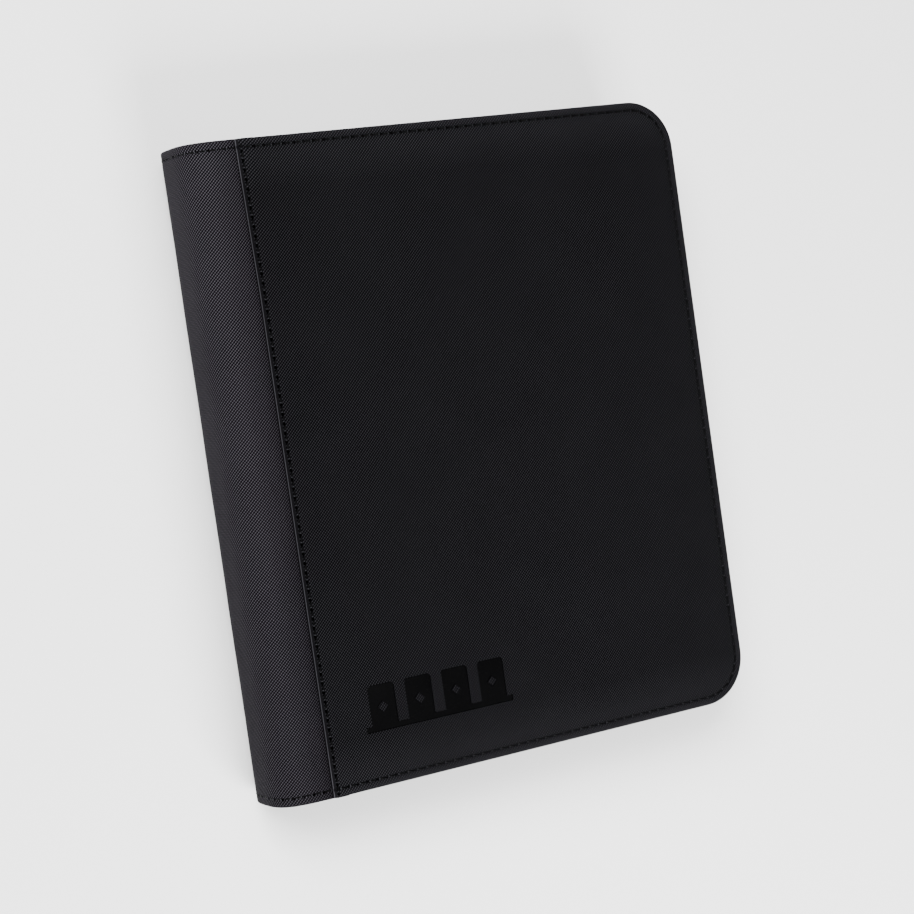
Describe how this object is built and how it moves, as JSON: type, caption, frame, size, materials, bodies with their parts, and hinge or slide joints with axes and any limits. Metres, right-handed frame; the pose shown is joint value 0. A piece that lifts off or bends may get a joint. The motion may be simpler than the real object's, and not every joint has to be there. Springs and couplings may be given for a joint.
{
  "type": "trading card binder",
  "caption": "Zip-round card binder with rounded corners, a stitched grained cover, a separate rounded spine and side-loading pocket pages.",
  "frame": {"origin": "centre of the binder's overall width and height, on the back cover's outer face", "axes": "+X from the spine to the fore-edge, +Y towards the top edge, +Z from the back cover to the front cover"},
  "size_m": [0.212, 0.2499, 0.036],
  "materials": {
    "cover_leather": "black synthetic leather, fine crossed grain",
    "spine_leather": "black synthetic leather, fine crossed grain",
    "board": "grey binder's board",
    "lining": "black smooth lining cloth",
    "thread": "black polyester thread",
    "emblem": "glossy black foil",
    "zip_tape": "black woven tape",
    "zip_teeth": "black nylon coil",
    "zip_metal": "black enamelled zinc",
    "page_core": "black polypropylene sheet",
    "pocket_film": "clear soft film"
  },
  "bodies": {
    "back_cover": {"back_cover_skin": "cover_leather", "back_cover_board": "board", "back_cover_lining": "lining", "back_cover_perimeter_stitching": "thread", "back_cover_seam_stitching": "thread", "back_zip_tape": "zip_tape", "back_zip_teeth": "zip_teeth", "back_zip_stop_bottom": "zip_metal", "back_zip_stop_top": "zip_metal"},
    "spine": {"spine_skin": "spine_leather", "spine_board": "board", "spine_lining": "lining", "spine_stitching_bottom": "thread", "spine_stitching_top": "thread", "page_binding_comb": "page_core"},
    "front_cover": {"front_cover_skin": "cover_leather", "front_cover_board": "board", "front_cover_lining": "lining", "front_cover_perimeter_stitching": "thread", "front_cover_seam_stitching": "thread", "front_zip_tape": "zip_tape", "front_zip_teeth": "zip_teeth", "front_zip_stop_bottom": "zip_metal", "front_zip_stop_top": "zip_metal", "front_cover_emblem": "emblem"},
    "zip_slider": {"zip_slider_body": "zip_metal", "zip_slider_bridge": "zip_metal"},
    "zip_pull": {"zip_pull_tab": "zip_metal"},
    "page_01": {"page_01_sheet": "page_core", "page_01_pockets": "pocket_film"},
    "page_02": {"page_02_sheet": "page_core", "page_02_pockets": "pocket_film"},
    "page_03": {"page_03_sheet": "page_core", "page_03_pockets": "pocket_film"},
    "page_04": {"page_04_sheet": "page_core", "page_04_pockets": "pocket_film"},
    "page_05": {"page_05_sheet": "page_core", "page_05_pockets": "pocket_film"},
    "page_06": {"page_06_sheet": "page_core", "page_06_pockets": "pocket_film"},
    "page_07": {"page_07_sheet": "page_core", "page_07_pockets": "pocket_film"},
    "page_08": {"page_08_sheet": "page_core", "page_08_pockets": "pocket_film"},
    "page_09": {"page_09_sheet": "page_core", "page_09_pockets": "pocket_film"},
    "page_10": {"page_10_sheet": "page_core", "page_10_pockets": "pocket_film"}
  },
  "joints": [
    {"name": "spine_fold", "type": "hinge", "parent": "back_cover", "child": "spine", "pos_m": [-0.1028, 0, 0.00325], "axis": [0, -1, 0], "range_deg": [0, 90], "deforming": ["spine_skin", "spine_lining"]},
    {"name": "cover_fold", "type": "hinge", "parent": "spine", "child": "front_cover", "pos_m": [-0.1028, 0, 0.03275], "axis": [0, -1, 0], "range_deg": [0, 90], "deforming": ["spine_stitching_bottom", "spine_stitching_top"]},
    {"name": "page_01_turn", "type": "hinge", "parent": "spine", "child": "page_01", "pos_m": [-0.09645, 0, 0.0063], "axis": [0, -1, 0], "range_deg": [-73.64, 0]},
    {"name": "page_02_turn", "type": "hinge", "parent": "spine", "child": "page_02", "pos_m": [-0.09645, 0, 0.0089], "axis": [0, -1, 0], "range_deg": [-57.28, 0]},
    {"name": "page_03_turn", "type": "hinge", "parent": "spine", "child": "page_03", "pos_m": [-0.09645, 0, 0.0115], "axis": [0, -1, 0], "range_deg": [-40.91, 0]},
    {"name": "page_04_turn", "type": "hinge", "parent": "spine", "child": "page_04", "pos_m": [-0.09645, 0, 0.0141], "axis": [0, -1, 0], "range_deg": [-24.55, 0]},
    {"name": "page_05_turn", "type": "hinge", "parent": "spine", "child": "page_05", "pos_m": [-0.09645, 0, 0.0167], "axis": [0, -1, 0], "range_deg": [-8.18, 0]},
    {"name": "page_06_turn", "type": "hinge", "parent": "spine", "child": "page_06", "pos_m": [-0.09645, 0, 0.0193], "axis": [0, -1, 0], "range_deg": [0, 8.18]},
    {"name": "page_07_turn", "type": "hinge", "parent": "spine", "child": "page_07", "pos_m": [-0.09645, 0, 0.0219], "axis": [0, -1, 0], "range_deg": [0, 24.55]},
    {"name": "page_08_turn", "type": "hinge", "parent": "spine", "child": "page_08", "pos_m": [-0.09645, 0, 0.0245], "axis": [0, -1, 0], "range_deg": [0, 40.91]},
    {"name": "page_09_turn", "type": "hinge", "parent": "spine", "child": "page_09", "pos_m": [-0.09645, 0, 0.0271], "axis": [0, -1, 0], "range_deg": [0, 57.28]},
    {"name": "page_10_turn", "type": "hinge", "parent": "spine", "child": "page_10", "pos_m": [-0.09645, 0, 0.0297], "axis": [0, -1, 0], "range_deg": [0, 73.64]},
    {"name": "zip_travel", "type": "slide", "parent": "back_cover", "child": "zip_slider", "axis": [1, 0, 0], "range_m": [0, 0.14]},
    {"name": "pull_swing", "type": "hinge", "parent": "zip_slider", "child": "zip_pull", "pos_m": [-0.07025, -0.1242, 0.018], "axis": [0, 0, -1], "range_deg": [0, 150]}
  ],
  "couplings": [
    {"joint": "cover_fold", "follows": "spine_fold", "ratio": 1},
    {"joint": "page_01_turn", "follows": "spine_fold", "ratio": -0.81818},
    {"joint": "page_02_turn", "follows": "spine_fold", "ratio": -0.63636},
    {"joint": "page_03_turn", "follows": "spine_fold", "ratio": -0.45454},
    {"joint": "page_04_turn", "follows": "spine_fold", "ratio": -0.27273},
    {"joint": "page_05_turn", "follows": "spine_fold", "ratio": -0.090909},
    {"joint": "page_06_turn", "follows": "spine_fold", "ratio": 0.090909},
    {"joint": "page_07_turn", "follows": "spine_fold", "ratio": 0.27273},
    {"joint": "page_08_turn", "follows": "spine_fold", "ratio": 0.45454},
    {"joint": "page_09_turn", "follows": "spine_fold", "ratio": 0.63636},
    {"joint": "page_10_turn", "follows": "spine_fold", "ratio": 0.81818}
  ]
}
